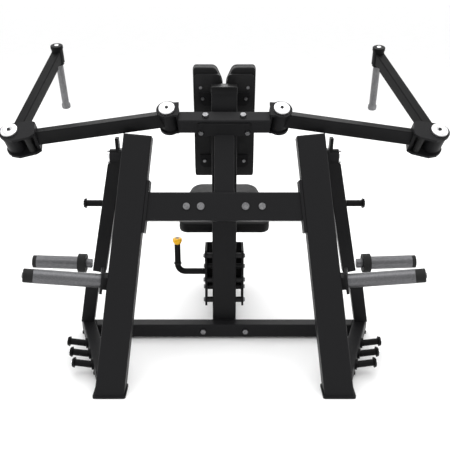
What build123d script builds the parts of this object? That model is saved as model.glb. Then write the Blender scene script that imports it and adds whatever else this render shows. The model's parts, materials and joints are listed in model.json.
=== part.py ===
from build123d import *
import os
from math import cos, sin, radians, tan

os.makedirs("parts", exist_ok=True)

# ---- driving dimensions, millimetres ---------------------------------------
y_shift = -519.54           # moves the post-foot datum so that the origin is under the middle of the machine
post_w, post_d, post_t = 100.0, 60.0, 4.0
post_bot = (-391.0, 27.0)   # x, y of the post's mid line at the floor
post_top = (-305.0, 398.0, 808.0)
rail_w, rail_h = 50.0, 54.0
col_w, col_d, col_front, col_top = 92.0, 90.0, 436.0, 956.0
beam_h, beam_d = 100.0, 50.0
bar_h, bar_d, bar_half = 58.0, 52.0, 160.0
bar_tilt = 30.0             # the top crossbar's roll towards the rear
hub_r, hub_bore_r, pin_r = 32.0, 12.05, 12.0
arm_w, arm_h, arm_t = 40.0, 50.0, 3.0
fore_w, fore_h = 34.0, 46.0
horn_r, horn_bore_r = 25.0, 20.0
horn_long = 226.0
grip_long = 170.0
peg_r = 12.0
seat_w_rear, seat_w_front, seat_len, seat_th = 384.0, 300.0, 400.0, 52.0


def at(x, y, z):
    return Vector(x, y + y_shift, z)


def run(a, b, across=(1, 0, 0)):
    """Plane at a, looking along a to b, with its x direction as near to across as it can be."""
    z = (b - a).normalized()
    x = Vector(*across)
    return Plane(origin=a, x_dir=x - z * x.dot(z), z_dir=z)


def span(a, b):
    return (b - a).length


def save(piece, name):
    piece.part.label = name
    export_step(piece.part, "parts/" + name + ".step")


def save_mirrored(piece, name):
    with BuildPart() as other:
        mirror(piece.part, about=Plane.YZ)
    save(other, name)
    return other


# ---- hinge points on the left side ------------------------------------------
knuckle = at(-197, 422, 872)
elbow = at(-747, 395, 800)
hand = at(-652, 746, 1060)
n_arm = (elbow - knuckle).cross(hand - elbow).normalized()
if n_arm.Z < 0:
    n_arm = n_arm * -1
grip_dir = Vector(0, 0.30, -0.954).normalized()
pivot = at(-392, 418, 735)
print("knuckle", knuckle, "elbow", elbow, "hand", hand, "axis", n_arm, "grip", grip_dir, "pivot", pivot)


def hinge_plane(p, along=0.0, n=n_arm, across=(1, 0, 0)):
    z = Vector(n).normalized()
    x = Vector(*across)
    return Plane(origin=p + z * along, x_dir=x - z * x.dot(z), z_dir=z)


# ---- front posts --------------------------------------------------------------
lean = Vector(post_top[0] - post_bot[0], post_top[1] - post_bot[1], post_top[2]).normalized()
post_base = at(post_bot[0], post_bot[1], 0)
post_head = at(*post_top)
post_pl = run(post_base - lean * 60, post_head)
post_len = span(post_base - lean * 60, post_head)

with BuildPart() as post_body:          # outer envelope, used to trim what meets the post
    with BuildSketch(post_pl):
        Rectangle(post_w, post_d)
    extrude(amount=post_len)

with BuildPart() as front_post_left:
    with BuildSketch(post_pl):
        RectangleRounded(post_w, post_d, 6)
        RectangleRounded(post_w - 2 * post_t, post_d - 2 * post_t, 3, mode=Mode.SUBTRACT)
    extrude(amount=post_len)
    with BuildSketch(Plane.XY.offset(8)):
        with Locations((post_bot[0], post_bot[1] + y_shift)):
            Rectangle(400, 400)
    extrude(amount=-300, mode=Mode.SUBTRACT)
save(front_post_left, "front_post_left")
save_mirrored(front_post_left, "front_post_right")

with BuildPart() as post_feet:
    with BuildSketch(Plane.XY):
        for s in (-1, 1):
            with Locations((s * 391, 30 + y_shift)):
                RectangleRounded(112, 82, 8)
    extrude(amount=8)
save(post_feet, "post_foot_plates")

with BuildPart() as post_cap_left:
    with BuildSketch(Plane(origin=post_head, x_dir=post_pl.x_dir, z_dir=lean)):
        RectangleRounded(post_w, post_d, 6)
    extrude(amount=5)

# ---- side rails, base crossbar and centre rail -----------------------------------
rail_a, rail_b = at(-420, 70, rail_h / 2 + 8), at(-552, 470, rail_h / 2 + 8)
with BuildPart() as side_rail_left:
    with BuildSketch(run(rail_a, rail_b)):
        RectangleRounded(rail_w, rail_h, 5)
        RectangleRounded(rail_w - 6, rail_h - 6, 3, mode=Mode.SUBTRACT)
    extrude(amount=span(rail_a, rail_b))
    with BuildSketch(post_pl):
        Rectangle(post_w + 0.1, post_d + 0.1)
    extrude(amount=post_len, mode=Mode.SUBTRACT)
    with BuildSketch(Plane.XY.offset(8)):
        with Locations((-391, 30 + y_shift)):
            Rectangle(112, 82)
    extrude(amount=-8, mode=Mode.SUBTRACT)
keep = side_rail_left.part.solids().sort_by(SortBy.VOLUME)[-1]
with BuildPart() as side_rail_left:
    add(keep)
save(side_rail_left, "side_rail_left")
save_mirrored(side_rail_left, "side_rail_right")

with BuildPart() as rail_block:          # outer envelope of the left rail
    with BuildSketch(run(rail_a, rail_b)):
        Rectangle(rail_w + 0.1, rail_h + 0.1)
    extrude(amount=span(rail_a, rail_b))
with BuildPart() as base_crossbar:
    with BuildSketch(Plane.YZ.offset(-580)):
        with Locations((391 + 25 + y_shift, 8 + 27)):
            RectangleRounded(50, 54, 5)
            RectangleRounded(44, 48, 3, mode=Mode.SUBTRACT)
    extrude(amount=1160)
    add(rail_block.part, mode=Mode.SUBTRACT)
    mirror(rail_block.part, about=Plane.YZ, mode=Mode.SUBTRACT)
keep = [s for s in base_crossbar.part.solids() if abs(s.center().X) < 60][0]
with BuildPart() as base_crossbar:
    add(keep)
save(base_crossbar, "base_crossbar")

with BuildPart() as center_rail:
    with BuildSketch(Plane.XZ.offset(-(col_front + col_d + 0.05 + y_shift))):
        with Locations((0, 35)):
            RectangleRounded(80, 54, 5)
            RectangleRounded(74, 48, 3, mode=Mode.SUBTRACT)
    extrude(amount=-380)
save(center_rail, "center_rail")

with BuildPart() as rubber_feet:
    with BuildSketch(Plane.XY):
        for s in (-1, 1):
            with Locations((s * 548, 446 + y_shift), (s * 449, 150 + y_shift)):
                RectangleRounded(46, 30, 6)
        with Locations((0, 880 + y_shift), (0, 481 + y_shift)):
            RectangleRounded(76, 34, 6)
    extrude(amount=7.9)
save(rubber_feet, "rubber_feet")

# ---- main column -------------------------------------------------------------------
with BuildPart() as main_column:
    with BuildSketch(Plane.XY.offset(8)):
        with Locations((0, col_front + 5.1 + (col_d - 5.1) / 2 + y_shift)):
            RectangleRounded(col_w, col_d - 5.1, 6)
            RectangleRounded(col_w - 8, col_d - 13.1, 3, mode=Mode.SUBTRACT)
    extrude(amount=col_top - 8)
    # height-adjustment holes in the seat side
    with BuildSketch(Plane.XZ.offset(-(col_front + col_d + y_shift))):
        with Locations(*[(0, 180 + 40 * i) for i in range(6)]):
            Circle(9)
    extrude(amount=20, mode=Mode.SUBTRACT)
save(main_column, "main_column")

with BuildPart() as column_top_cap:
    with BuildSketch(Plane.XY.offset(col_top)):
        with Locations((0, col_front + col_d / 2 - 3 + y_shift)):
            RectangleRounded(col_w + 2, col_d + 2, 7)
    extrude(amount=25)
    fillet(column_top_cap.faces().sort_by(Axis.Z)[-1].edges(), 4)
save(column_top_cap, "column_top_cap")

# ---- upper beam, end plates, centre strut --------------------------------------------
out = lean.cross(Vector(post_pl.x_dir)).normalized()      # across the post's depth, away from the rear
if out.Y < 0:
    out = out * -1
beam_c = at(0, 269, 595) + Vector(0, 0.911, -0.412) * 30
with BuildPart() as upper_beam:
    with BuildSketch(Plane(origin=beam_c + Vector(-330, 0, 0), x_dir=(0, 0.911, -0.412), z_dir=(1, 0, 0))):
        RectangleRounded(beam_d, beam_h, 6)
        RectangleRounded(beam_d - 8, beam_h - 8, 3, mode=Mode.SUBTRACT)
    extrude(amount=660)
    with BuildSketch(post_pl):
        with Locations((5.05, 0)):
            Rectangle(post_w + 10.1, post_d + 60)
        with Locations((-95, 0)):
            Rectangle(100, post_d + 60)
    extrude(amount=post_len, mode=Mode.SUBTRACT)
    with BuildSketch(Plane(origin=Vector(-post_pl.origin.X, post_pl.origin.Y, post_pl.origin.Z),
                           x_dir=Vector(-post_pl.x_dir.X, post_pl.x_dir.Y, post_pl.x_dir.Z),
                           z_dir=Vector(-lean.X, lean.Y, lean.Z))):
        with Locations((5.05, 0)):
            Rectangle(post_w + 10.1, post_d + 60)
        with Locations((-95, 0)):
            Rectangle(100, post_d + 60)
    extrude(amount=post_len, mode=Mode.SUBTRACT)
save(upper_beam, "upper_beam")

s_beam = (beam_c - post_pl.origin).dot(lean)
with BuildPart() as beam_end_left:
    with BuildSketch(Plane(origin=post_pl.origin + lean * (s_beam - 92 - 27), x_dir=post_pl.x_dir, z_dir=lean)):
        with Locations((post_w / 2 + 5.05, 0)):
            Rectangle(9.9, post_d - 2)
    extrude(amount=184)
with BuildPart() as beam_end_plates:
    add(beam_end_left.part)
    mirror(beam_end_left.part, about=Plane.YZ)
save(beam_end_plates, "beam_end_plates")

bar_c = at(0, 402, 862)
bar_up = Vector(0, -sin(radians(bar_tilt)), cos(radians(bar_tilt)))
bar_fwd = Vector(0, cos(radians(bar_tilt)), sin(radians(bar_tilt)))
with BuildPart() as top_crossbar:
    with BuildSketch(Plane(origin=bar_c + Vector(-bar_half, 0, 0), x_dir=bar_fwd, z_dir=(1, 0, 0))):
        RectangleRounded(bar_d, bar_h, 5)
        RectangleRounded(bar_d - 7, bar_h - 7, 2, mode=Mode.SUBTRACT)
    extrude(amount=2 * bar_half)
    with BuildSketch(Plane.XY.offset(600)):
        with Locations((0, col_front + 5 + 60 + y_shift)):
            Rectangle(col_w + 0.2, 120)
    extrude(amount=400, mode=Mode.SUBTRACT)
save(top_crossbar, "top_crossbar")

with BuildPart() as crossbar_bracket:
    with BuildSketch(Plane(origin=bar_c - bar_fwd * (bar_d / 2 + 0.05), x_dir=(1, 0, 0), z_dir=-bar_fwd)):
        with Locations((0, -8)):
            Rectangle(184, 54)
    extrude(amount=7)
    fillet(crossbar_bracket.edges().filter_by(GeomType.LINE).filter_by(lambda e: abs(e.length - 7) < 0.01), 6)
save(crossbar_bracket, "crossbar_bracket")

strut_a = beam_c + Vector(0, 0.412, 0.911) * (beam_h / 2 + 0.1)
strut_b = bar_c - bar_up * (bar_h / 2 + 0.1)
with BuildPart() as center_strut:
    with BuildSketch(run(strut_a - (strut_b - strut_a).normalized() * 60, strut_b)):
        RectangleRounded(70, 36, 5)
        RectangleRounded(64, 30, 3, mode=Mode.SUBTRACT)
    extrude(amount=span(strut_a, strut_b) + 120)
    with BuildSketch(Plane(origin=beam_c, x_dir=(1, 0, 0), z_dir=(0, 0.412, 0.911)).offset(beam_h / 2 + 0.1)):
        Rectangle(400, 400)
    extrude(amount=-300, mode=Mode.SUBTRACT)
    with BuildSketch(Plane(origin=bar_c, x_dir=(1, 0, 0), z_dir=bar_up).offset(-bar_h / 2 - 0.1)):
        Rectangle(400, 400)
    extrude(amount=300, mode=Mode.SUBTRACT)
    with BuildSketch(Plane.XY.offset(500)):
        with Locations((0, col_front + 5 + 60 + y_shift)):
            Rectangle(col_w + 0.2, 120)
    extrude(amount=600, mode=Mode.SUBTRACT)
    with BuildSketch(Plane(origin=bar_c - bar_fwd * (bar_d / 2), x_dir=(1, 0, 0), z_dir=-bar_fwd)):
        with Locations((0, -8)):
            Rectangle(186, 56)
    extrude(amount=7.15, mode=Mode.SUBTRACT)
keep = center_strut.part.solids().sort_by(SortBy.VOLUME)[-1]
with BuildPart() as center_strut:
    add(keep)
save(center_strut, "center_strut")

# triangular gussets between column and crossbar underside
with BuildPart() as column_gussets:
    for s in (-1, 1):
        with BuildSketch(Plane.YZ.offset(s * (col_w / 2 + 4.6))):
            with BuildLine():
                Polyline((col_front + 8 + y_shift, 835), (col_front + 70 + y_shift, 835), (col_front + 50 + y_shift, 740),
                         (col_front + 20 + y_shift, 740), close=True)
            make_face()
        extrude(amount=4.5, both=True)
save(column_gussets, "column_gussets")

# ---- knuckles -----------------------------------------------------------------------
with BuildPart() as clevis_left:
    for lo in (-47.0, 37.2):
        with BuildSketch(hinge_plane(knuckle, lo)):
            Circle(38)
            with Locations((30, 0)):
                Rectangle(60, 62)
            Circle(pin_r + 0.02, mode=Mode.SUBTRACT)
        extrude(amount=9.8)
    with BuildSketch(hinge_plane(knuckle, -47.0)):
        with Locations((35, 0)):
            Rectangle(5, 62)
    extrude(amount=94)
    with BuildSketch(Plane(origin=bar_c + Vector(-bar_half - 0.1, 0, 0), x_dir=bar_fwd, z_dir=(1, 0, 0))):
        Rectangle(400, 400)
    extrude(amount=200, mode=Mode.SUBTRACT)
with BuildPart() as knuckle_clevises:
    add(clevis_left.part)
    mirror(clevis_left.part, about=Plane.YZ)
save(knuckle_clevises, "knuckle_clevises")

with BuildPart() as knuckle_pin:
    with BuildSketch(hinge_plane(knuckle, -50)):
        Circle(pin_r)
    extrude(amount=97.05)
    with BuildSketch(hinge_plane(knuckle, 47.05)):
        Circle(29)
    extrude(amount=9)
    fillet(knuckle_pin.edges().filter_by(GeomType.CIRCLE).filter_by(lambda e: abs(e.radius - 29) < 0.01).sort_by(Axis.Z)[-1], 4)
with BuildPart() as knuckle_pins:
    add(knuckle_pin.part)
    mirror(knuckle_pin.part, about=Plane.YZ)
save(knuckle_pins, "knuckle_pins")

# ---- stub uprights that carry the band pegs, storage horns -----------------------------
stub_a, stub_b = at(-543, 438, 62.1), at(-508, 415, 238)
with BuildPart() as stub_left:
    with BuildSketch(run(stub_a - (stub_b - stub_a).normalized() * 40, stub_b)):
        RectangleRounded(50, 40, 4)
        RectangleRounded(44, 34, 2, mode=Mode.SUBTRACT)
    extrude(amount=span(stub_a, stub_b) + 40)
    with BuildSketch(Plane.XY.offset(62.1)):
        with Locations((-500, 438 + y_shift)):
            Rectangle(400, 400)
    extrude(amount=-200, mode=Mode.SUBTRACT)
with BuildPart() as stub_uprights:
    add(stub_left.part)
    mirror(stub_left.part, about=Plane.YZ)
save(stub_uprights, "stub_uprights")

with BuildPart() as stub_pad:
    with BuildSketch(Plane(origin=stub_b, x_dir=(1, 0, 0), z_dir=(stub_b - stub_a))):
        RectangleRounded(50, 40, 4)
    extrude(amount=9)
with BuildPart() as tube_end_caps:
    for cap in (post_cap_left.part, stub_pad.part):
        add(cap)
        mirror(cap, about=Plane.YZ)
    with BuildSketch(Plane.XZ.offset(-(col_front + col_d + 380.1 + y_shift))):
        with Locations((0, 35)):
            RectangleRounded(80, 54, 5)
    extrude(amount=-5)
save(tube_end_caps, "tube_end_caps")

horn_tilt, horn_yaw = 10.0, 12.0
horn_out = Vector(-cos(radians(horn_tilt)) * cos(radians(horn_yaw)), -cos(radians(horn_tilt)) * sin(radians(horn_yaw)), sin(radians(horn_tilt)))
lever_out = Vector(-cos(radians(2.0)), 0, sin(radians(2.0)))
horn_root = at(-424, 189, 346)
with BuildPart() as storage_left:
    with BuildSketch(Plane(origin=horn_root, x_dir=(0, 1, 0), z_dir=horn_out)):
        Rectangle(60, 84)
    extrude(amount=9)
    fillet([e for e in storage_left.edges() if abs(e.length - 9) < 0.01], 12)
    with BuildSketch(Plane(origin=horn_root, x_dir=(0, 1, 0), z_dir=horn_out * -1)):
        Rectangle(46, 46)
    extrude(amount=60)
    with BuildSketch(post_pl):
        Rectangle(post_w + 0.1, post_d + 60)
    extrude(amount=post_len, mode=Mode.SUBTRACT)
keep = storage_left.part.solids().sort_by(Axis.X)[0]
with BuildPart() as storage_left:
    add(keep)
with BuildPart() as storage_brackets:
    add(storage_left.part)
    mirror(storage_left.part, about=Plane.YZ)
save(storage_brackets, "storage_brackets")

with BuildPart() as storage_horn_left:
    with BuildSketch(Plane(origin=horn_root + horn_out * 9.05, x_dir=(0, 1, 0), z_dir=horn_out)):
        Circle(horn_r)
        Circle(horn_bore_r, mode=Mode.SUBTRACT)
    extrude(amount=horn_long)
with BuildPart() as storage_horns:
    add(storage_horn_left.part)
    mirror(storage_horn_left.part, about=Plane.YZ)
save(storage_horns, "storage_horns")

with BuildPart() as storage_cap_left:
    with BuildSketch(Plane(origin=horn_root + horn_out * (9.05 + horn_long + 0.05), x_dir=(0, 1, 0), z_dir=horn_out)):
        Circle(horn_r - 0.7)
    extrude(amount=34)
    fillet(storage_cap_left.edges().filter_by(GeomType.CIRCLE).sort_by(Axis.X)[0], 5)
with BuildPart() as storage_caps:
    add(storage_cap_left.part)
    mirror(storage_cap_left.part, about=Plane.YZ)
save(storage_caps, "storage_horn_caps")

rail_dir = (rail_b - rail_a).normalized()
rail_side = Vector(-rail_dir.Y, rail_dir.X, 0)
if rail_side.X > 0:
    rail_side = rail_side * -1
with BuildPart() as pegs_left:
    for y in (146, 218, 294):
        f = (y - 70) / 400
        root = rail_a + (rail_b - rail_a) * f + rail_side * (rail_w / 2 + 0.1) + Vector(0, 0, 8)
        tip = root + Vector(-66, 4, 5)
        with BuildSketch(run(root, root + rail_side, (0, 0, 1))):
            Circle(19)
        extrude(amount=7)
        with BuildSketch(run(root + rail_side * 5, tip, (0, 0, 1))):
            Circle(peg_r)
        extrude(amount=span(root + rail_side * 5, tip))
        with BuildSketch(run(tip, tip + (tip - root), (0, 0, 1))):
            Circle(peg_r + 7)
        extrude(amount=7, taper=20)
with BuildPart() as band_pegs:
    add(pegs_left.part)
    mirror(pegs_left.part, about=Plane.YZ)
save(band_pegs, "base_band_pegs")

# ---- back pads -----------------------------------------------------------------------
pad_lean = 10.0
pad_y = 600.0
pad_c = at(-60.5, pad_y, 822)
pad_up = Vector(0, -sin(radians(pad_lean)), cos(radians(pad_lean)))
pad_out = Vector(0, cos(radians(pad_lean)), sin(radians(pad_lean)))
with BuildPart() as back_pad_left:
    with BuildSketch(Plane(origin=pad_c - pad_out * 29, x_dir=(1, 0, 0), z_dir=pad_out)):
        with BuildLine():
            Polyline((-54, 215), (40, 215), (56, 195), (56, -170), (30, -226), (-50, -226), (-57, -215), (-57, 200), close=True)
        make_face()
        fillet(vertices(), 8)
    extrude(amount=58)
save(back_pad_left, "back_pad_left")
save_mirrored(back_pad_left, "back_pad_right")

with BuildPart() as back_boards:
    for s in (-1, 1):
        with BuildSketch(Plane(origin=at(s * 60.5, pad_y, 822) - pad_out * 29.2, x_dir=(1, 0, 0), z_dir=-pad_out)):
            RectangleRounded(96, 400, 12)
        extrude(amount=11)
save(back_boards, "pad_boards")

with BuildPart() as pad_mounts:
    for i, h in enumerate((110.0, -10.0, -140.0)):
        base = at(0, pad_y, 822) - pad_out * 40.4 + pad_up * h
        with BuildSketch(Plane(origin=base, x_dir=(1, 0, 0), z_dir=-pad_out)):
            with BuildLine():
                Polyline((-92, -14), (-76, -25), (76, -25), (92, -14), (92, 25), (-92, 25), close=True)
            make_face()
        extrude(amount=7)
        foot = base - pad_out * 6.5
        with BuildSketch(Plane(origin=foot, x_dir=(1, 0, 0), z_dir=(0, -1, 0))):
            Rectangle(44, 34)
        extrude(amount=foot.Y - (col_front + col_d + 0.1 + y_shift))
save(pad_mounts, "pad_mounts")

# ---- lever pivots ------------------------------------------------------------------------
with BuildPart() as pivot_bracket_left:
    with BuildSketch(Plane.YZ.offset(-373.5)):
        with BuildLine():
            Polyline((355 + y_shift, 690), (440 + y_shift, 700), (445 + y_shift, 760), (400 + y_shift, 768), (372 + y_shift, 768), close=True)
        make_face()
        fillet(vertices(), 8)
    extrude(amount=40)
    with BuildSketch(Plane.YZ.offset(-380)):
        with Locations((pivot.Y, pivot.Z)):
            Circle(pin_r + 0.02)
    extrude(amount=60, mode=Mode.SUBTRACT)
    with BuildSketch(Plane.YZ.offset(-361)):
        with Locations((pivot.Y + 10, pivot.Z)):
            Rectangle(72, 140)
    extrude(amount=60, mode=Mode.SUBTRACT)
    with BuildSketch(post_pl):
        Rectangle(post_w + 0.1, post_d + 0.1)
    extrude(amount=post_len, mode=Mode.SUBTRACT)
keep = pivot_bracket_left.part.solids().sort_by(SortBy.VOLUME)[-1]
with BuildPart() as pivot_bracket_left:
    add(keep)
with BuildPart() as pivot_brackets:
    add(pivot_bracket_left.part)
    mirror(pivot_bracket_left.part, about=Plane.YZ)
save(pivot_brackets, "lever_pivot_brackets")

with BuildPart() as pivot_pin_left:
    with BuildSketch(Plane.YZ.offset(-361.5)):
        with Locations((pivot.Y, pivot.Z)):
            Circle(pin_r)
    extrude(amount=-50)
    with BuildSketch(Plane.YZ.offset(-411.5)):
        with Locations((pivot.Y, pivot.Z)):
            Circle(28)
    extrude(amount=-7)
    fillet(pivot_pin_left.edges().filter_by(GeomType.CIRCLE).filter_by(lambda e: abs(e.radius - 28) < 0.01).sort_by(Axis.X)[0], 2)
with BuildPart() as pivot_pins:
    add(pivot_pin_left.part)
    mirror(pivot_pin_left.part, about=Plane.YZ)
save(pivot_pins, "lever_pivot_pins")

# ---- weight lever, left -----------------------------------------------------------------
lev_top = at(-393, 419, 722)
lev_bot = at(-480, 424, 285)
with BuildPart() as lever_left:
    with BuildSketch(Plane.YZ.offset(-374.2)):
        with Locations((pivot.Y, pivot.Z)):
            Circle(27)
    extrude(amount=-36.8)
    with BuildSketch(Plane.YZ.offset(-376)):
        with BuildLine():
            Polyline((pivot.Y - 16, pivot.Z), (pivot.Y - 30, 806), (pivot.Y - 4, 808), (pivot.Y + 20, pivot.Z), close=True)
        make_face()
    extrude(amount=-12)
    with BuildSketch(run(lev_top, lev_bot)):
        RectangleRounded(50, 42, 4)
    extrude(amount=span(lev_top, lev_bot))
    with BuildSketch(Plane.YZ.offset(-374.2)):
        with Locations((pivot.Y, pivot.Z)):
            Rectangle(300, 300)
    extrude(amount=60, mode=Mode.SUBTRACT)
    with BuildSketch(Plane.YZ.offset(-411.2)):
        with Locations((pivot.Y, pivot.Z)):
            Circle(30)
    extrude(amount=-40, mode=Mode.SUBTRACT)
    with BuildSketch(Plane.YZ.offset(-350)):
        with Locations((pivot.Y, pivot.Z)):
            Circle(hub_bore_r)
    extrude(amount=-100, mode=Mode.SUBTRACT)
save(lever_left, "weight_lever_left")
save_mirrored(lever_left, "weight_lever_right")

horn2 = at(-508, 423.5, 312)
with BuildPart() as lever_horn_left:
    with BuildSketch(Plane(origin=horn2, x_dir=(0, 1, 0), z_dir=lever_out)):
        Circle(18)
    extrude(amount=52)
    with BuildSketch(Plane(origin=horn2 + lever_out * 52, x_dir=(0, 1, 0), z_dir=lever_out)):
        Circle(horn_r)
    extrude(amount=4)
    with BuildSketch(Plane(origin=horn2 + lever_out * 52, x_dir=(0, 1, 0), z_dir=lever_out)):
        Circle(horn_r)
        Circle(horn_bore_r, mode=Mode.SUBTRACT)
    extrude(amount=158)
save(lever_horn_left, "lever_horn_left")
save_mirrored(lever_horn_left, "lever_horn_right")

with BuildPart() as lever_ends_left:
    with BuildSketch(Plane(origin=horn2 + lever_out * 22, x_dir=(0, 1, 0), z_dir=lever_out)):
        Circle(36)
        Circle(18.05, mode=Mode.SUBTRACT)
    extrude(amount=29.9)
    with BuildSketch(Plane(origin=horn2 + lever_out * 210.05, x_dir=(0, 1, 0), z_dir=lever_out)):
        Circle(horn_r - 0.7)
    extrude(amount=15)
save(lever_ends_left, "lever_horn_ends_left")
save_mirrored(lever_ends_left, "lever_horn_ends_right")

with BuildPart() as lever_peg_left:
    with BuildSketch(Plane(origin=at(-454, 421, 556), x_dir=(0, 1, 0), z_dir=(-1, 0, 0))):
        Circle(peg_r)
    extrude(amount=58)
    with BuildSketch(Plane(origin=at(-512, 421, 556), x_dir=(0, 1, 0), z_dir=(-1, 0, 0))):
        Circle(peg_r + 7)
    extrude(amount=7, taper=20)
    with BuildSketch(run(lev_top, lev_bot)):
        Rectangle(50.1, 60)
    extrude(amount=span(lev_top, lev_bot), mode=Mode.SUBTRACT)
save(lever_peg_left, "lever_peg_left")
save_mirrored(lever_peg_left, "lever_peg_right")

# ---- arm, left ----------------------------------------------------------------------------
arm_dir = (elbow - knuckle).normalized()
arm_pl = Plane(origin=knuckle, x_dir=arm_dir.cross(Vector(0, -0.20, 0.98)), z_dir=arm_dir)
arm_len = span(knuckle, elbow)
web_at = 78.0               # distance from the elbow axis to the elbow bracket's web
with BuildPart() as arm_left:
    with BuildSketch(hinge_plane(knuckle, -36.9)):
        Circle(hub_r)
    extrude(amount=73.8)
    with BuildSketch(arm_pl):
        RectangleRounded(arm_w, arm_h, 4)
    extrude(amount=arm_len - web_at - 10)
    with BuildSketch(hinge_plane(knuckle, 37)):
        Circle(60)
    extrude(amount=60, mode=Mode.SUBTRACT)
    with BuildSketch(hinge_plane(knuckle, -37)):
        Circle(60)
    extrude(amount=-60, mode=Mode.SUBTRACT)
    with BuildSketch(hinge_plane(knuckle, -60)):
        Circle(hub_bore_r)
    extrude(amount=120, mode=Mode.SUBTRACT)
save(arm_left, "arm_left")
save_mirrored(arm_left, "arm_right")

el_x = Vector(arm_dir) * -1     # from the elbow back towards the knuckle
el_x = (el_x - n_arm * el_x.dot(n_arm)).normalized()
def el_plane(along):
    return Plane(origin=elbow + n_arm * along, x_dir=el_x, z_dir=n_arm)
with BuildPart() as elbow_left:
    for lo in (-47.0, 37.2):
        with BuildSketch(el_plane(lo)):
            with BuildLine():
                Polyline((-20, -36), (10, -48), (70, -40), (88, -28), (88, 28), (70, 36), (10, 36), (-20, 30), close=True)
            make_face()
            Circle(38)
            Circle(pin_r + 0.02, mode=Mode.SUBTRACT)
        extrude(amount=9.8)
    with BuildSketch(el_plane(-47.0)):
        with Locations((web_at + 5, 0)):
            Rectangle(10, 56)
    extrude(amount=94)
    with BuildSketch(arm_pl.offset(arm_len - web_at - 9.9)):
        RectangleRounded(arm_w, arm_h, 4)
    extrude(amount=18)
    with BuildSketch(el_plane(-37.2)):
        with Locations((30, 0)):
            Rectangle(91, 130)
    extrude(amount=74.4, mode=Mode.SUBTRACT)
save(elbow_left, "elbow_bracket_left")
save_mirrored(elbow_left, "elbow_bracket_right")

with BuildPart() as bumpers_left:
    for y in (-27.0,):
        with BuildSketch(el_plane(-37.1)):
            with Locations((57, y), (57, -y)):
                Circle(11)
        extrude(amount=74.2)
save(bumpers_left, "elbow_bumpers_left")
save_mirrored(bumpers_left, "elbow_bumpers_right")

with BuildPart() as elbow_pin:
    with BuildSketch(el_plane(-50)):
        Circle(pin_r)
    extrude(amount=97.05)
    with BuildSketch(el_plane(47.05)):
        Circle(30)
    extrude(amount=9)
    fillet(elbow_pin.edges().filter_by(GeomType.CIRCLE).filter_by(lambda e: abs(e.radius - 30) < 0.01).sort_by(Axis.Z)[-1], 4)
save(elbow_pin, "elbow_pin_left")
save_mirrored(elbow_pin, "elbow_pin_right")

# ---- forearm, left --------------------------------------------------------------------------
fore_dir = (hand - elbow).normalized()
grip_pl = Plane(origin=hand, x_dir=Vector(1, 0, 0), z_dir=grip_dir * -1)
with BuildPart() as forearm_left:
    with BuildSketch(el_plane(-36.9)):
        Circle(hub_r)
    extrude(amount=73.8)
    with BuildSketch(Plane(origin=elbow, x_dir=n_arm.cross(fore_dir), z_dir=fore_dir)):
        RectangleRounded(fore_w, fore_h, 4)
    extrude(amount=span(elbow, hand))
    with BuildSketch(grip_pl.offset(-28)):
        Circle(22)
    extrude(amount=56)
    with BuildSketch(grip_pl.offset(28)):
        Circle(50)
    extrude(amount=60, mode=Mode.SUBTRACT)
    with BuildSketch(grip_pl.offset(-28)):
        Circle(50)
    extrude(amount=-60, mode=Mode.SUBTRACT)
    with BuildSketch(grip_pl.offset(-60)):
        Circle(9.05)
    extrude(amount=120, mode=Mode.SUBTRACT)
    with BuildSketch(el_plane(-60)):
        Circle(hub_bore_r)
    extrude(amount=120, mode=Mode.SUBTRACT)
save(forearm_left, "forearm_left")

with BuildPart() as stem_left:
    with BuildSketch(grip_pl.offset(-grip_long - 58)):
        Circle(9)
    extrude(amount=grip_long + 87)
    with BuildSketch(grip_pl.offset(28.3)):
        Circle(24)
    extrude(amount=12)
    fillet(stem_left.edges().filter_by(GeomType.CIRCLE).filter_by(lambda e: abs(e.radius - 24) < 0.01).sort_by(Axis.Z)[-1], 3)
    with BuildSketch(grip_pl.offset(-28.3)):
        Circle(19)
    extrude(amount=-8)
save(stem_left, "handle_stem_left")

with BuildPart() as grip_left:
    with BuildSketch(grip_pl.offset(-36.4)):
        Circle(14)
        Circle(9.0, mode=Mode.SUBTRACT)
    extrude(amount=-grip_long)
    with BuildSketch(grip_pl.offset(-36.4 - grip_long)):
        Circle(17.5)
        Circle(9.0, mode=Mode.SUBTRACT)
    extrude(amount=-21)
    fillet(grip_left.edges().filter_by(GeomType.CIRCLE).filter_by(lambda e: abs(e.radius - 17.5) < 0.01), 3)
save(grip_left, "handle_grip_left")

# the right forearm rests turned a few degrees further in than the left one
in_turn = 7.0
n_right = Vector(-n_arm.X, n_arm.Y, n_arm.Z)
elbow_right = Vector(-elbow.X, elbow.Y, elbow.Z)
turn = Axis(origin=elbow_right, direction=n_right)
for piece, name in ((forearm_left, "forearm_right"), (stem_left, "handle_stem_right"), (grip_left, "handle_grip_right")):
    with BuildPart() as other:
        add(piece.part.mirror(Plane.YZ).rotate(turn, in_turn))
    save(other, name)
hand_right = Vector(-hand.X, hand.Y, hand.Z)
tip_right = Vertex(hand_right.X, hand_right.Y, hand_right.Z).rotate(turn, in_turn)
foot_right = Vertex(hand_right.X + grip_dir.X, hand_right.Y + grip_dir.Y, hand_right.Z + grip_dir.Z).rotate(turn, in_turn)
print("hand_right", tip_right.center(), "grip_right", foot_right.center() - tip_right.center())

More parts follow.
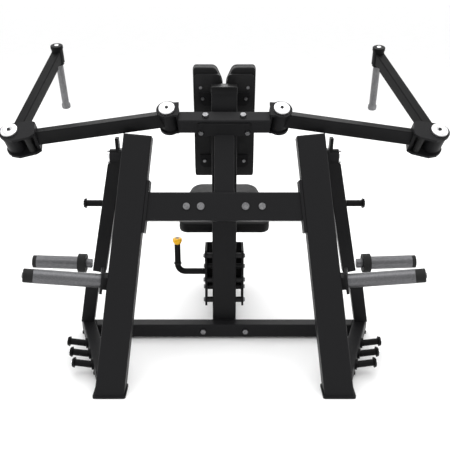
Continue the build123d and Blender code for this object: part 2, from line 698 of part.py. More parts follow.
# ---- seat carriage -------------------------------------------------------------------------------
plate_x = 72.0
with BuildPart() as carriage_weldment:
    for s in (-1, 1):
        with BuildSketch(Plane.YZ.offset(s * plate_x)):
            with BuildLine():
                Polyline((455 + y_shift, 112), (548 + y_shift, 112), (560 + y_shift, 150), (560 + y_shift, 349),
                         (455 + y_shift, 349), close=True)
            make_face()
            fillet(vertices(), 8)
        extrude(amount=4, both=True)
    with BuildSketch(Plane.YZ.offset(-60)):
        with Locations((500 + y_shift, 245)):
            Circle(8.05)
    extrude(amount=-40, mode=Mode.SUBTRACT)
    with BuildSketch(Plane.XY.offset(165)):
        with Locations((0, 552 + y_shift)):
            Rectangle(2 * plate_x - 8, 8)
    extrude(amount=184)
    # seat arm: a tube that rises away from the column
    with BuildSketch(Plane.YZ.offset(-25)):
        with BuildLine():
            Polyline((555 + y_shift, 230), (555 + y_shift, 290), (700 + y_shift, 343), (820 + y_shift, 364),
                     (820 + y_shift, 324), (720 + y_shift, 300), close=True)
        make_face()
    extrude(amount=50)

with BuildPart() as rollers:
    for s in (-1, 1):
        with BuildSketch(Plane.YZ.offset(s * 46.3)):
            with Locations(*[(y + y_shift, z) for y, z in ((470, 135), (500, 178), (470, 222), (500, 268), (470, 325))]):
                Circle(11)
        extrude(amount=s * 21.6)
save(rollers, "carriage_glides")

with BuildPart() as axle_bolts:
    for s in (-1, 1):
        with BuildSketch(Plane.YZ.offset(s * 76.05)):
            with Locations(*[(y + y_shift, z) for y, z in ((470, 135), (500, 178), (470, 222), (500, 268), (470, 325))]):
                RegularPolygon(8, 6)
        extrude(amount=s * 6)
save(axle_bolts, "carriage_bolts")

seat_tilt = 9.0
seat_up = Vector(0, -sin(radians(seat_tilt)), cos(radians(seat_tilt)))
seat_fwd = Vector(0, cos(radians(seat_tilt)), sin(radians(seat_tilt)))
seat_o = at(0, 655, 345)
with BuildPart() as seat_plate:
    with BuildSketch(Plane(origin=seat_o + seat_fwd * 200 - seat_up * 0.15, x_dir=(1, 0, 0), z_dir=-seat_up)):
        RectangleRounded(240, 320, 14)
    extrude(amount=6)
save(seat_plate, "seat_plate")
with BuildPart() as seat_pad:
    with BuildSketch(Plane(origin=seat_o, x_dir=(1, 0, 0), z_dir=seat_up)):
        with BuildLine():
            Polyline((-seat_w_rear / 2, 22), (-seat_w_rear / 2 + 22, 0), (seat_w_rear / 2 - 22, 0), (seat_w_rear / 2, 22),
                     (seat_w_rear / 2 - 6, 210), (seat_w_front / 2, seat_len - 30), (seat_w_front / 2 - 30, seat_len),
                     (-seat_w_front / 2 + 30, seat_len), (-seat_w_front / 2, seat_len - 30), (-seat_w_rear / 2 + 6, 210), close=True)
        make_face()
    extrude(amount=seat_th)
save(seat_pad, "seat_pad")
with BuildPart() as carriage:
    add(carriage_weldment.part)
    with BuildSketch(Plane(origin=seat_o + seat_fwd * 200 - seat_up * 6.25, x_dir=(1, 0, 0), z_dir=seat_up)):
        Rectangle(500, 520)
    extrude(amount=200, mode=Mode.SUBTRACT)
save(carriage, "seat_carriage")

# ---- release lever ------------------------------------------------------------------------------------
rel_y, rel_z = 500.0, 245.0
with BuildPart() as release_lever:
    with BuildSketch(Plane(origin=at(-76.4, rel_y, rel_z), x_dir=(0, 1, 0), z_dir=(-1, 0, 0))):
        Circle(12)
    extrude(amount=78)
    with BuildSketch(Plane(origin=at(-76.4, rel_y, rel_z), x_dir=(0, 1, 0), z_dir=(1, 0, 0))):
        Circle(8)
    extrude(amount=12)
    with BuildSketch(Plane(origin=at(-154.4, rel_y, rel_z), x_dir=(0, 1, 0), z_dir=(-1, 0, 0))):
        Circle(12)
    revolve(axis=Axis(origin=at(-154.4, rel_y, rel_z + 30), direction=(0, 1, 0)), revolution_arc=90)
    with BuildSketch(Plane(origin=at(-184.4, rel_y, rel_z + 30), x_dir=(1, 0, 0), z_dir=(0, 0, 1))):
        Circle(12)
    extrude(amount=88)
save(release_lever, "release_lever")
with BuildPart() as release_knob:
    with BuildSketch(Plane(origin=at(-184.4, rel_y, rel_z + 118.05), x_dir=(1, 0, 0), z_dir=(0, 0, 1))):
        Circle(18.5)
    extrude(amount=24)
    fillet(release_knob.edges().filter_by(GeomType.CIRCLE), 6)
save(release_knob, "release_knob")

# ---- bolts and screws -----------------------------------------------------------------------------------
with BuildPart() as frame_bolts:
    # crossbar: two on top, their nuts below, two in front
    for x in (-66, 66):
        with BuildSketch(Plane(origin=bar_c + bar_up * (bar_h / 2 + 0.1) + Vector(x, 0, 0), x_dir=(1, 0, 0), z_dir=bar_up)):
            RegularPolygon(11, 6)
        extrude(amount=8)
        with BuildSketch(Plane(origin=bar_c - bar_up * (bar_h / 2 + 0.1) + Vector(x, 8, 0), x_dir=(1, 0, 0), z_dir=-bar_up)):
            RegularPolygon(11, 6)
        extrude(amount=14)
        with BuildSketch(Plane(origin=bar_c - bar_fwd * (bar_d / 2 + 7.15) - bar_up * 18 + Vector(x * 1.24, 0, 0), x_dir=(1, 0, 0), z_dir=-bar_fwd)):
            RegularPolygon(9, 6)
        extrude(amount=7)
    beam_n = Vector(0, -0.911, 0.412)
    for x, r in ((-132, 12), (132, 12), (-82, 13), (74, 13)):
        with BuildSketch(Plane(origin=beam_c + beam_n * (beam_d / 2 + 0.1) + Vector(x, 0, 0), x_dir=(1, 0, 0), z_dir=beam_n)):
            Circle(r)
        extrude(amount=4)
    for x in (-83, 83):
        with BuildSketch(Plane.XZ.offset(-(390.9 + y_shift))):
            with Locations((x, 34)):
                RegularPolygon(11, 6)
        extrude(amount=7)
    for x, h in ((87, 152), (80, 112), (79, -8), (76, -138)):
        for s in (-1, 1):
            behind = 47.5 if h < 150 else 40.3
            with BuildSketch(Plane(origin=at(s * x, pad_y, 822) - pad_out * behind + pad_up * h, x_dir=(1, 0, 0), z_dir=-pad_out)):
                Circle(6)
            extrude(amount=4)
save(frame_bolts, "bolts_and_screws")
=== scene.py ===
import bpy, bmesh, json, math
import numpy as np
from mathutils import Vector, Matrix, noise


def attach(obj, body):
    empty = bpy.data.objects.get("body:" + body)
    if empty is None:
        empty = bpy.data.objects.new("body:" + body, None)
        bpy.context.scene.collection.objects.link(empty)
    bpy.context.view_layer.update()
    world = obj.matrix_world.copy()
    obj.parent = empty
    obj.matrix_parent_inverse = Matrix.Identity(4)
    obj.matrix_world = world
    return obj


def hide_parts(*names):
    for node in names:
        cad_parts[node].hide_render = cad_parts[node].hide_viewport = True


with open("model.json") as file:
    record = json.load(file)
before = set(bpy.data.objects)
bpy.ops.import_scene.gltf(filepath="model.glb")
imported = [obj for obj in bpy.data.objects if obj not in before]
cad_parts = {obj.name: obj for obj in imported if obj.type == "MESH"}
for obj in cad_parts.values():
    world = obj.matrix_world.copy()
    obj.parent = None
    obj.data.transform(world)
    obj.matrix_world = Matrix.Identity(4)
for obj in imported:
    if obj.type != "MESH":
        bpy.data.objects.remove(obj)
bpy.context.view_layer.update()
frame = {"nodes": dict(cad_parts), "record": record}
nodes = frame["nodes"]
scene = bpy.context.scene
YS = -0.51954                     # post-foot datum to origin, as in the CAD


def at(x, y, z):
    return Vector((x / 1000.0, y / 1000.0 + YS, z / 1000.0))


# ---------------------------------------------------------------- camera
cam_data = bpy.data.cameras.new("camera")
cam_data.lens = 52.0
cam_data.sensor_width = 36.0
cam_data.shift_x = 0.0016
cam_data.clip_end = 60
cam = bpy.data.objects.new("camera", cam_data)
scene.collection.objects.link(cam)
cam.location = (0.0, -1.877 + YS, 1.306)
cam.rotation_euler = (math.radians(90 - 20), 0, 0)
scene.camera = cam


# ---------------------------------------------------------------- materials
def new_mat(name, color, rough, metallic=0.0, spec=0.5, coat=0.0, coat_rough=0.1):
    m = bpy.data.materials.new(name)
    m.use_nodes = True
    nt = m.node_tree
    b = nt.nodes["Principled BSDF"]
    b.inputs["Base Color"].default_value = (*color, 1)
    b.inputs["Roughness"].default_value = rough
    b.inputs["Metallic"].default_value = metallic
    b.inputs["Specular IOR Level"].default_value = spec
    b.inputs["Coat Weight"].default_value = coat
    b.inputs["Coat Roughness"].default_value = coat_rough
    return m, nt, b


def obj_coords(nt):
    return nt.nodes.new("ShaderNodeTexCoord").outputs["Object"]


def noise_tex(nt, vec, scale, detail=3.0, rough=0.5):
    n = nt.nodes.new("ShaderNodeTexNoise")
    n.inputs["Scale"].default_value = scale
    n.inputs["Detail"].default_value = detail
    n.inputs["Roughness"].default_value = rough
    nt.links.new(vec, n.inputs["Vector"])
    return n.outputs["Fac"]


def ramp(nt, fac, stops):
    r = nt.nodes.new("ShaderNodeValToRGB")
    els = r.color_ramp.elements
    while len(els) > 1:
        els.remove(els[0])
    els[0].position, els[0].color = stops[0][0], stops[0][1]
    for p, c in stops[1:]:
        e = els.new(p)
        e.color = c
    nt.links.new(fac, r.inputs["Fac"])
    return r.outputs["Color"]


def grey(v):
    return (v, v, v, 1)


def map_range(nt, fac, lo, hi):
    r = nt.nodes.new("ShaderNodeMapRange")
    r.inputs["To Min"].default_value = lo
    r.inputs["To Max"].default_value = hi
    nt.links.new(fac, r.inputs["Value"])
    return r.outputs["Result"]


def bump(nt, bsdf, height, strength, distance):
    b = nt.nodes.new("ShaderNodeBump")
    b.inputs["Strength"].default_value = strength
    b.inputs["Distance"].default_value = distance
    nt.links.new(height, b.inputs["Height"])
    nt.links.new(b.outputs["Normal"], bsdf.inputs["Normal"])


def powder_coat():
    m, nt, b = new_mat("powder_coat_black", (0.0045, 0.0045, 0.0048), 0.42, spec=0.08)
    v = obj_coords(nt)
    geo = nt.nodes.new("ShaderNodeNewGeometry")
    # sharp edges painted slightly lighter over a fine cloudy black: partly edge wear, partly a painted highlight along
    # the rounded edges
    cloud = ramp(nt, noise_tex(nt, v, 14, 4), [(0.3, (0.0028, 0.0028, 0.0030, 1)), (0.7, (0.0058, 0.0058, 0.0062, 1))])
    wear_and_highlight_edge = ramp(nt, geo.outputs["Pointiness"], [(0.53, grey(0.0)), (0.63, grey(1.0))])
    mix = nt.nodes.new("ShaderNodeMix")
    mix.data_type = "RGBA"
    nt.links.new(wear_and_highlight_edge, mix.inputs["Factor"])
    nt.links.new(cloud, mix.inputs["A"])
    # lighter edge colour: partly wear, partly painted highlight
    mix.inputs["B"].default_value = (0.010, 0.010, 0.0107, 1)
    nt.links.new(mix.outputs["Result"], b.inputs["Base Color"])
    nt.links.new(map_range(nt, noise_tex(nt, v, 36, 5), 0.34, 0.50), b.inputs["Roughness"])
    bump(nt, b, noise_tex(nt, v, 620, 2, 0.6), 0.16, 0.0006)
    return m


def metal(name, lo, hi, r_lo, r_hi, scale, stretch=(1, 1, 1), bstr=0.05):
    m, nt, b = new_mat(name, hi, r_hi, metallic=1.0)
    v = obj_coords(nt)
    mp = nt.nodes.new("ShaderNodeMapping")
    mp.inputs["Scale"].default_value = stretch
    nt.links.new(v, mp.inputs["Vector"])
    n = noise_tex(nt, mp.outputs["Vector"], scale, 4)
    nt.links.new(ramp(nt, n, [(0.3, (*lo, 1)), (0.7, (*hi, 1))]), b.inputs["Base Color"])
    nt.links.new(map_range(nt, noise_tex(nt, v, scale * 0.4, 3), r_lo, r_hi), b.inputs["Roughness"])
    bump(nt, b, n, bstr, 0.0004)
    return m


def moulded(name, lo, hi, r_lo, r_hi, scale, bstr, spec=0.4):
    m, nt, b = new_mat(name, hi, r_hi, spec=spec)
    v = obj_coords(nt)
    nt.links.new(ramp(nt, noise_tex(nt, v, scale * 0.1, 4), [(0.3, (*lo, 1)), (0.7, (*hi, 1))]), b.inputs["Base Color"])
    nt.links.new(map_range(nt, noise_tex(nt, v, scale * 0.2, 3), r_lo, r_hi), b.inputs["Roughness"])
    bump(nt, b, noise_tex(nt, v, scale, 3), bstr, 0.0005)
    return m


def vinyl():
    m, nt, b = new_mat("pad_vinyl_black", (0.005, 0.005, 0.0053), 0.46, spec=0.12)
    v = obj_coords(nt)
    vor = nt.nodes.new("ShaderNodeTexVoronoi")
    vor.feature = "DISTANCE_TO_EDGE"
    vor.inputs["Scale"].default_value = 520
    nt.links.new(v, vor.inputs["Vector"])
    grain = ramp(nt, vor.outputs["Distance"], [(0.0, grey(0.0)), (0.12, grey(1.0))])
    col = ramp(nt, noise_tex(nt, v, 22, 5), [(0.3, (0.0036, 0.0036, 0.0039, 1)), (0.7, (0.0066, 0.0066, 0.0070, 1))])
    nt.links.new(col, b.inputs["Base Color"])
    nt.links.new(map_range(nt, noise_tex(nt, v, 60, 4), 0.38, 0.56), b.inputs["Roughness"])
    bump(nt, b, grain, 0.22, 0.0005)
    return m


M = {
    "powder": powder_coat(),
    "chrome": metal("chrome_bright", (0.80, 0.80, 0.81), (0.93, 0.93, 0.94), 0.09, 0.20, 55),
    "white_cap": metal("satin_cap", (0.62, 0.62, 0.63), (0.74, 0.74, 0.74), 0.26, 0.36, 90),
    "zinc": metal("zinc_bolt", (0.13, 0.13, 0.136), (0.25, 0.25, 0.256), 0.28, 0.42, 160),
    "sleeve": metal("horn_sleeve_grey", (0.085, 0.085, 0.089), (0.145, 0.145, 0.151), 0.36, 0.46, 70, (1, 9, 9), 0.12),
    "rubber": moulded("rubber_black", (0.005, 0.005, 0.005), (0.011, 0.011, 0.011), 0.55, 0.75, 500, 0.2, 0.2),
    "plastic": moulded("plastic_black", (0.006, 0.006, 0.0065), (0.011, 0.011, 0.0115), 0.38, 0.52, 400, 0.15, 0.2),
    "board": moulded("board_black", (0.006, 0.006, 0.0065), (0.011, 0.011, 0.0115), 0.45, 0.6, 300, 0.25, 0.2),
    "grip": moulded("grip_grey", (0.14, 0.14, 0.145), (0.20, 0.20, 0.205), 0.55, 0.72, 700, 0.35, 0.35),
    "yellow": moulded("knob_yellow", (0.86, 0.44, 0.002), (0.95, 0.52, 0.004), 0.22, 0.34, 200, 0.05, 0.5),
    "vinyl": vinyl(),
    "thread": moulded("thread_grey", (0.035, 0.035, 0.037), (0.055, 0.055, 0.057), 0.6, 0.75, 900, 0.4, 0.3),
}
by_slot = {"powder_coat": "powder", "chrome": "chrome", "zinc": "zinc", "sleeve": "sleeve", "rubber": "rubber",
           "plastic": "plastic", "grip": "grip", "upholstery": "vinyl", "knob": "yellow"}
for sp in frame["record"]["subparts"]:
    o = nodes.get(sp["node"])
    if o is None:
        continue
    key = by_slot[sp["material_slot"]]
    if sp["node"] == "pad_boards":
        key = "board"
    if sp["node"] in ("knuckle_pins", "elbow_pin_left", "elbow_pin_right"):
        key = "white_cap"
    for i in range(max(1, len(o.material_slots))):
        if len(o.material_slots) == 0:
            o.data.materials.append(M[key])
        else:
            o.material_slots[i].material = M[key]
    bev = o.modifiers.new("soft_edge", "BEVEL")
    bev.width = 0.0009
    bev.segments = 2
    bev.limit_method = "ANGLE"
    bev.angle_limit = math.radians(40)
    bev.harden_normals = False


# ---------------------------------------------------------------- mesh helpers
def finish_piece(name, bm, mat, body, smooth=True, bevel=0.0, sub=0):
    me = bpy.data.meshes.new(name)
    bmesh.ops.recalc_face_normals(bm, faces=bm.faces)
    bm.to_mesh(me)
    bm.free()
    for p in me.polygons:
        p.use_smooth = smooth
    o = bpy.data.objects.new(name, me)
    scene.collection.objects.link(o)
    me.materials.append(M[mat])
    if sub:
        s = o.modifiers.new("sub", "SUBSURF")
        s.levels = s.render_levels = sub
    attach(o, body)
    return o


def basis(axis, hint=(0, 0, 1)):
    z = Vector(axis).normalized()
    h = Vector(hint)
    if abs(z.dot(h.normalized())) > 0.95:
        h = Vector((1, 0, 0))
    x = (h - z * h.dot(z)).normalized()
    return x, z.cross(x), z


def lathe_into(bm, origin, axis, profile, seg=48):
    """profile: list of (distance along axis, radius), closed at both ends where the radius is zero."""
    x, y, z = basis(axis)
    rings = []
    for d, r in profile:
        if r < 1e-7:
            rings.append([bm.verts.new(origin + z * d)])
        else:
            rings.append([bm.verts.new(origin + z * d + (x * math.cos(2 * math.pi * i / seg) + y * math.sin(2 * math.pi * i / seg)) * r) for i in range(seg)])
    for a, b in zip(rings, rings[1:]):
        if len(a) == 1 and len(b) == 1:
            continue
        for i in range(seg):
            j = (i + 1) % seg
            if len(a) == 1:
                bm.faces.new((a[0], b[i], b[j]))
            elif len(b) == 1:
                bm.faces.new((a[i], b[0], a[j]))
            else:
                bm.faces.new((a[i], b[i], b[j], a[j]))


def lathe(name, origin, axis, profile, mat, body, seg=48):
    bm = bmesh.new()
    lathe_into(bm, origin, axis, profile, seg)
    o = finish_piece(name, bm, mat, body)
    m = o.modifiers.new("split", "EDGE_SPLIT")
    m.split_angle = math.radians(50)
    return o


def tube_along(bm, pts, r, seg=10, closed=True):
    n = len(pts)
    rings = []
    for i, p in enumerate(pts):
        a = pts[(i - 1) % n] if closed or i else p
        b = pts[(i + 1) % n] if closed or i < n - 1 else p
        t = (b - a).normalized()
        x, y, _ = basis(t, (0.03, 0.02, 1))
        rings.append([bm.verts.new(p + (x * math.cos(2 * math.pi * k / seg) + y * math.sin(2 * math.pi * k / seg)) * r) for k in range(seg)])
    pairs = list(zip(rings, rings[1:])) + ([(rings[-1], rings[0])] if closed else [])
    for a, b in pairs:
        # keep the rings in phase
        k0 = min(range(seg), key=lambda k: (b[k].co - a[0].co).length)
        for k in range(seg):
            bm.faces.new((a[k], b[(k + k0) % seg], b[(k + 1 + k0) % seg], a[(k + 1) % seg]))


def rounded(outline, radius, step=0.008):
    """Outline with rounded corners, resampled at about the given step."""
    n = len(outline)
    out = []
    for i in range(n):
        p0, p, p1 = (Vector(outline[(i + k) % n]) for k in (-1, 0, 1))
        r = radius[i] if hasattr(radius, "__len__") else radius
        a, b = (p0 - p), (p1 - p)
        d = min(r, a.length * 0.45, b.length * 0.45)
        s, e = p + a.normalized() * d, p + b.normalized() * d
        for k in range(7):
            t = k / 6
            out.append((1 - t) ** 2 * s + 2 * t * (1 - t) * p + t * t * e)
    dense = []
    for i, p in enumerate(out):
        q = out[(i + 1) % len(out)]
        m = max(1, int((q - p).length / step))
        dense += [p.lerp(q, k / m) for k in range(m)]
    return dense


def cushion(name, outline, radius, origin, xd, yd, nd, thick, crown, body, node, seed=1, seam=0.72, step=0.010):
    """Crowned, sewn cushion on a flat base: sides that swell, a welt seam, a crowned face with soft dimples."""
    base = rounded(outline, radius, step)
    c = sum((Vector(p) for p in base), Vector((0, 0))) / len(base)
    n = len(base)
    bm = bmesh.new()
    prof = [(0.955, 0.000, 0), (0.985, 0.05, 0), (0.997, 0.22, 0), (1.0, 0.42, 0), (0.997, 0.60, 0), (0.990, seam - 0.03, 0),
            (0.981, seam, 0), (0.990, seam + 0.03, 0), (0.988, 0.83, 0), (0.968, 0.92, 0), (0.93, 0.968, 0)]
    rings = []

    def place(p2, h, amp):
        q = origin + xd * p2.x + yd * p2.y + nd * h
        w = noise.noise(Vector((q.x * 13 + seed * 7, q.y * 13, q.z * 13))) * amp
        w += noise.noise(Vector((q.x * 40 + seed * 3, q.y * 40, q.z * 40))) * amp * 0.3
        return q + nd * w

    half = min(max(abs((Vector(p) - c).x) for p in base), max(abs((Vector(p) - c).y) for p in base))
    for s, h, _ in prof:
        ring = []
        for p in base:
            v = Vector(p) - c
            shrink = (1 - s) * half          # the same inset all round, not a scale
            l = max(v.length, 1e-6)
            ring.append(bm.verts.new(place(c + v * max(0.0, (l - shrink) / l), thick * h, 0.0 if h < 0.3 else 0.0010)))
        rings.append(ring)
    for s in (0.86, 0.77, 0.66, 0.54, 0.42, 0.30, 0.18, 0.08):
        k = 1 - s
        h = thick * 0.968 + crown * (1 - s ** 2.4)
        ring = []
        for p in base:
            v = Vector(p) - c
            ring.append(bm.verts.new(place(c + v * s, h, 0.0015)))
        rings.append(ring)
    for a, b in zip(rings, rings[1:]):
        for i in range(n):
            j = (i + 1) % n
            bm.faces.new((a[i], a[j], b[j], b[i]))
    bm.faces.new(list(reversed(rings[0])))
    top = bm.verts.new(sum((v.co for v in rings[-1]), Vector()) / n)
    for i in range(n):
        bm.faces.new((rings[-1][i], rings[-1][(i + 1) % n], top))
    o = finish_piece(name, bm, "vinyl", body, sub=1)
    if node:
        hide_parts(node)
    # welt cord in the seam
    bm = bmesh.new()
    pts = []
    for p in base:
        v = Vector(p) - c
        l = max(v.length, 1e-6)
        pts.append(origin + xd * (c + v * (l - 0.017 * half) / l).x + yd * (c + v * (l - 0.017 * half) / l).y + nd * thick * seam)
    tube_along(bm, pts, 0.0021, 8)
    finish_piece(name + "_welt", bm, "vinyl", body)
    # one row of stitches beside the welt, on the crowned face
    bm = bmesh.new()
    for row in (0.90,):
        per = []
        for p in base:
            v = Vector(p) - c
            per.append(origin + xd * (c + v * row).x + yd * (c + v * row).y + nd * (thick * 0.968 + crown * (1 - row ** 2.4) + 0.0008))
        acc, i, length = 0.0, 0, 0.0
        total = sum((per[(k + 1) % n] - per[k]).length for k in range(n))
        pos, seg_i, seg_pos = 0.0, 0, 0.0
        pitch, stitch = 0.0075, 0.0050
        marks = []
        cum = [0.0]
        for k in range(n):
            cum.append(cum[-1] + (per[(k + 1) % n] - per[k]).length)

        def point(s):
            s = s % total
            k = int(np.searchsorted(cum, s, side="right") - 1)
            k = min(k, n - 1)
            f = (s - cum[k]) / max(cum[k + 1] - cum[k], 1e-9)
            return per[k].lerp(per[(k + 1) % n], f)

        count = int(total / pitch)
        for q in range(count):
            s0 = q * total / count
            a, b = point(s0), point(s0 + stitch)
            t = (b - a).normalized()
            side = t.cross(nd).normalized() * 0.0007
            up = nd * 0.0006
            vs = [bm.verts.new(a + side), bm.verts.new(a - side), bm.verts.new(a.lerp(b, 0.5) - side + up), bm.verts.new(a.lerp(b, 0.5) + side + up),
                  bm.verts.new(b - side), bm.verts.new(b + side), bm.verts.new(a.lerp(b, 0.5) - nd * 0.001)]
            bm.faces.new((vs[0], vs[1], vs[2], vs[3]))
            bm.faces.new((vs[3], vs[2], vs[4], vs[5]))
            bm.faces.new((vs[0], vs[3], vs[6])); bm.faces.new((vs[3], vs[5], vs[6]))
            bm.faces.new((vs[1], vs[6], vs[2])); bm.faces.new((vs[2], vs[6], vs[4]))
            bm.faces.new((vs[0], vs[6], vs[1])); bm.faces.new((vs[5], vs[4], vs[6]))
    finish_piece(name + "_stitches", bm, "thread", body, smooth=False)
    return o


# ---------------------------------------------------------------- hinge geometry, as in the CAD
K, E, H = at(-197, 422, 872), at(-747, 395, 800), at(-652, 746, 1060)
N = (E - K).cross(H - E).normalized()
if N.z < 0:
    N = -N
G = Vector((0, 0.30, -0.954)).normalized()
P = at(-392, 418, 735)


def mx(v):
    return Vector((-v.x, v.y, v.z))


HORN = Vector((-math.cos(math.radians(10)) * math.cos(math.radians(12)), -math.cos(math.radians(10)) * math.sin(math.radians(12)), math.sin(math.radians(10))))
LEVER = Vector((-math.cos(math.radians(2)), 0, math.sin(math.radians(2))))


NR = mx(N)
R7 = Matrix.Rotation(math.radians(7.0), 3, NR)
HR = mx(E) + R7 @ (mx(H) - mx(E))
GR = R7 @ mx(G)

PEG_END = [(0, 0), (0, 0.0155), (0.0012, 0.0162), (0.0024, 0.0155), (0.0024, 0.0095), (0.0012, 0.0085), (0.0012, 0)]
RAIL_W = 0.050

# ---------------------------------------------------------------- pads
lean = math.radians(10)
pu = Vector((0, -math.sin(lean), math.cos(lean)))
po = Vector((0, math.cos(lean), math.sin(lean)))
for s, side in ((-1, "left"), (1, "right")):
    c = at(s * 60.5, 600, 822) - po * 0.0285
    pts = [(-0.052 * -s, -0.212), (0.040 * -s, -0.212), (0.053 * -s, -0.193), (0.053 * -s, 0.168), (0.028 * -s, 0.222), (-0.048 * -s, 0.222), (-0.054 * -s, 0.211), (-0.054 * -s, -0.198)]
    pts = [Vector(p) for p in pts]
    if s > 0:
        pts = pts[::-1]
    cushion("back_cushion_" + side, pts, 0.016, c, Vector((1, 0, 0)), pu, po, 0.055, 0.006, "root", "back_pad_" + side, seed=s + 2)

st = math.radians(9)
su = Vector((0, -math.sin(st), math.cos(st)))
sf = Vector((0, math.cos(st), math.sin(st)))
so = at(0, 655, 345) + su * 0.0004
seat_pts = [(-0.189, 0.024), (-0.167, 0.002), (0.167, 0.002), (0.189, 0.024), (0.183, 0.21), (0.147, 0.37), (0.119, 0.397), (-0.119, 0.397), (-0.147, 0.37), (-0.183, 0.21)]
cushion("seat_cushion", [Vector(p) for p in seat_pts], 0.02, so, Vector((1, 0, 0)), sf, su, 0.048, 0.007, "seat", "seat_pad", seed=5)

# ---------------------------------------------------------------- grips, knobs, caps
for side, h, g in (("left", H, G), ("right", HR, GR)):
    d0 = 0.0364
    prof = [(d0, 0.0093), (d0, 0.0125), (d0 + 0.002, 0.0140)]
    n_rib = 38
    for i in range(n_rib):
        a = d0 + 0.006 + i * (0.160 / n_rib)
        prof += [(a, 0.01395), (a + 0.0012, 0.01335), (a + 0.0022, 0.01335), (a + 0.0032, 0.01395)]
    prof += [(d0 + 0.169, 0.0140), (d0 + 0.173, 0.0170), (d0 + 0.176, 0.0175), (d0 + 0.186, 0.0175), (d0 + 0.1895, 0.0162), (d0 + 0.1909, 0.013), (d0 + 0.1909, 0.0093), (d0, 0.0093)]
    o = lathe("grip_sleeve_" + side, h, g, prof, "grip", "handle_" + side, 48)
    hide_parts("handle_grip_" + side)
    # handle head: dark cap with a pale centre screw
    top = h - g * 0.0403
    lathe("handle_screw_" + side, top, -g, [(0, 0), (0, 0.0085), (0.0012, 0.0085), (0.0026, 0.0070), (0.0030, 0.0036), (0.0016, 0.0032), (0.0016, 0)], "white_cap", "handle_" + side, 32)

for side, f in (("left", lambda v: v), ("right", mx)):
    n = f(N)
    for base_name, p, body, r in (("knuckle", f(K), "root", 0.029), ("elbow", f(E), "arm_" + side, 0.030)):
        t0 = p + n * 0.0560
        lathe(base_name + "_cap_ring_" + side, t0, n, [(0, 0), (0, r * 0.80), (0.0010, r * 0.80), (0.0019, r * 0.74), (0.0021, r * 0.36), (0.0015, r * 0.33), (0.0015, 0)], "white_cap", body, 48)
        lathe(base_name + "_cap_centre_" + side, t0 + n * 0.0015, n, [(0, 0), (0, r * 0.20), (0.0012, r * 0.20), (0.0016, r * 0.16), (0.0016, 0)], "plastic", body, 32)
        lathe(base_name + "_pin_nut_" + side, p - n * 0.0500, -n, [(0, 0), (0, 0.0125), (0.001, 0.0135), (0.0085, 0.0135), (0.0095, 0.0125), (0.0095, 0)], "zinc", body, 6)
    # pivot head
    x = f(Vector((-1, 0, 0)))
    pc = f(P)
    pc = Vector((-0.4185 if side == "left" else 0.4185, pc.y, pc.z))
    lathe("pivot_cap_ring_" + side, pc, x, [(0, 0), (0, 0.0265), (0.0012, 0.0265), (0.0022, 0.0245), (0.0022, 0.0165), (0.0012, 0.0155), (0.0012, 0)], "chrome", "root", 48)
    # horn ends: rubber discs with a bolt
    hd = f(HORN)
    hs = f(at(-424, 189, 346) + HORN * 0.2691)
    lathe("storage_end_bolt_" + side, hs, hd, [(0, 0), (0, 0.0105), (0.0012, 0.0105), (0.0035, 0.0085), (0.0038, 0.0045), (0.0018, 0.0040), (0.0018, 0)], "zinc", "root", 32)
    ld = f(LEVER)
    hl = f(at(-508, 423.5, 312) + LEVER * 0.22505)
    lathe("lever_end_bolt_" + side, hl, ld, [(0, 0), (0, 0.0090), (0.0012, 0.0090), (0.0030, 0.0070), (0.0033, 0.0040), (0.0016, 0.0036), (0.0016, 0)], "zinc", "lever_" + side, 32)
    # flared chrome end of the upper band peg, with a thin black disc in its shallow mouth as painted shade for the
    # hollow
    pe = f(at(-519, 421, 556))
    lathe("peg_end_" + side, pe, x, PEG_END, "chrome", "lever_" + side, 40)
    # black disc: painted shade standing in for the hollow inside the peg
    lathe("peg_mouth_shade_disc_" + side, pe + x * 0.0012, x, [(0, 0), (0, 0.0080), (0.0006, 0.0080), (0.0006, 0)], "plastic", "lever_" + side, 32)
    for k, q in enumerate((146, 218, 294)):
        fr = (q - 70) / 400
        ra, rb = at(-420, 70, 35), at(-552, 470, 35)
        rd = (rb - ra).normalized()
        rs = Vector((-abs(rd.y), -abs(rd.x) * (1 if rd.x < 0 else -1), 0)).normalized()
        root = ra + (rb - ra) * fr + rs * (RAIL_W / 2 + 0.0001) + Vector((0, 0, 0.008))
        tip = root + Vector((-0.066, 0.004, 0.005))
        pd = (tip - root).normalized()
        lathe("base_peg_end_%s_%d" % (side, k), f(tip + pd * 0.0070), f(pd), PEG_END, "chrome", "root", 40)
    # washers under the carriage bolts
    bm = bmesh.new()
    for y, z in ((470, 135), (500, 178), (470, 222), (500, 268), (470, 325)):
        lathe_into(bm, f(at(-76.05, y, z)), x, [(0, 0), (0, 0.0105), (0.0003, 0.0108), (0.0013, 0.0108), (0.0016, 0.0104), (0.0016, 0)], 32)
    finish_piece("carriage_washers_" + side, bm, "zinc", "seat")

# knob: yellow mushroom with a pale centre
kb = at(-184.4, 500, 245 + 118.05)
up = Vector((0, 0, 1))
o = lathe("knob_body", kb, up, [(0, 0), (0, 0.0125), (0.001, 0.0135), (0.004, 0.0145), (0.008, 0.0178), (0.012, 0.0184), (0.019, 0.0184), (0.0225, 0.0165), (0.0238, 0.0125), (0.0238, 0)], "yellow", "release", 56)
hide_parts("release_knob")
lathe("knob_centre", kb + up * 0.0235, up, [(0, 0), (0, 0.0075), (0.0006, 0.0080), (0.0012, 0.0070), (0.0012, 0)], "sleeve", "release", 32)
lathe("release_collar", at(-184.4, 500, 277), up, [(0, 0.0121), (0, 0.0140), (0.001, 0.0148), (0.006, 0.0148), (0.007, 0.0140), (0.007, 0.0121)], "rubber", "release", 40)
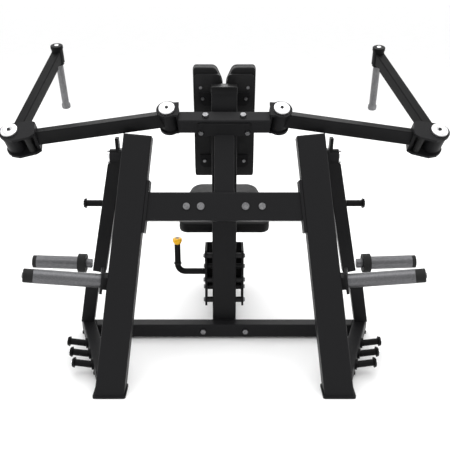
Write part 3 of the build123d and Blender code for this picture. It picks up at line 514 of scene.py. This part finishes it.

# weld bead helper: small icospheres along a path of points, meant for where the main tubes meet; nothing below calls it
def weld(name, pts, body, r=0.0022):
    bm = bmesh.new()
    dense = []
    for a, b in zip(pts, pts[1:]):
        m = max(1, int((b - a).length / 0.0035))
        dense += [a.lerp(b, k / m) for k in range(m)]
    dense.append(pts[-1])
    for i, p in enumerate(dense):
        rr = r * (1.0 + 0.16 * math.sin(i * 2.1))
        mat = Matrix.Translation(p)
        bmesh.ops.create_icosphere(bm, subdivisions=1, radius=rr, matrix=mat)
    finish_piece(name, bm, "powder", body)


# ---------------------------------------------------------------- floor, light, world
bm = bmesh.new()
bmesh.ops.create_grid(bm, x_segments=1, y_segments=1, size=60)
me = bpy.data.meshes.new("floor")
bm.to_mesh(me)
bm.free()
floor = bpy.data.objects.new("floor", me)
scene.collection.objects.link(floor)
fm, nt, b = new_mat("floor_pale", (0.90, 0.90, 0.90), 0.55, spec=0.25)
v = obj_coords(nt)
nt.links.new(ramp(nt, noise_tex(nt, v, 3, 3), [(0.3, grey(0.89)), (0.7, grey(0.91))]), b.inputs["Base Color"])
me.materials.append(fm)
floor.location = (0, 0, -0.0005)

world = bpy.data.worlds.new("studio")
scene.world = world
world.use_nodes = True
wn = world.node_tree
bg = wn.nodes["Background"]
bg.inputs["Color"].default_value = (1, 1, 1, 1)
bg.inputs["Strength"].default_value = 1.10
lp = wn.nodes.new("ShaderNodeLightPath")
bg2 = wn.nodes.new("ShaderNodeBackground")
bg2.inputs["Color"].default_value = (1, 1, 1, 1)
bg2.inputs["Strength"].default_value = 1.2
mixw = wn.nodes.new("ShaderNodeMixShader")
wn.links.new(lp.outputs["Is Camera Ray"], mixw.inputs["Fac"])
wn.links.new(bg.outputs["Background"], mixw.inputs[1])
wn.links.new(bg2.outputs["Background"], mixw.inputs[2])
wn.links.new(mixw.outputs["Shader"], wn.nodes["World Output"].inputs["Surface"])


def area(name, loc, target, size, power, size_y=None):
    l = bpy.data.lights.new(name, "AREA")
    l.energy = power
    l.size = size
    if size_y:
        l.shape = "RECTANGLE"
        l.size_y = size_y
    o = bpy.data.objects.new(name, l)
    scene.collection.objects.link(o)
    o.location = loc
    o.rotation_euler = (Vector(target) - Vector(loc)).to_track_quat("-Z", "Y").to_euler()
    return o


area("top_soft", (0, 0.3, 4.2), (0, 0, 0), 5.0, 150)
area("back_soft", (0, 4.5, 2.6), (0, 0, 0.6), 4.0, 40, 2.0)
area("left_soft", (-4.2, -0.6, 1.8), (0, 0, 0.6), 2.0, 20, 3.0)
area("right_soft", (4.2, -0.6, 1.8), (0, 0, 0.6), 2.0, 20, 3.0)

scene.view_settings.view_transform = "Standard"
scene.view_settings.look = "None"
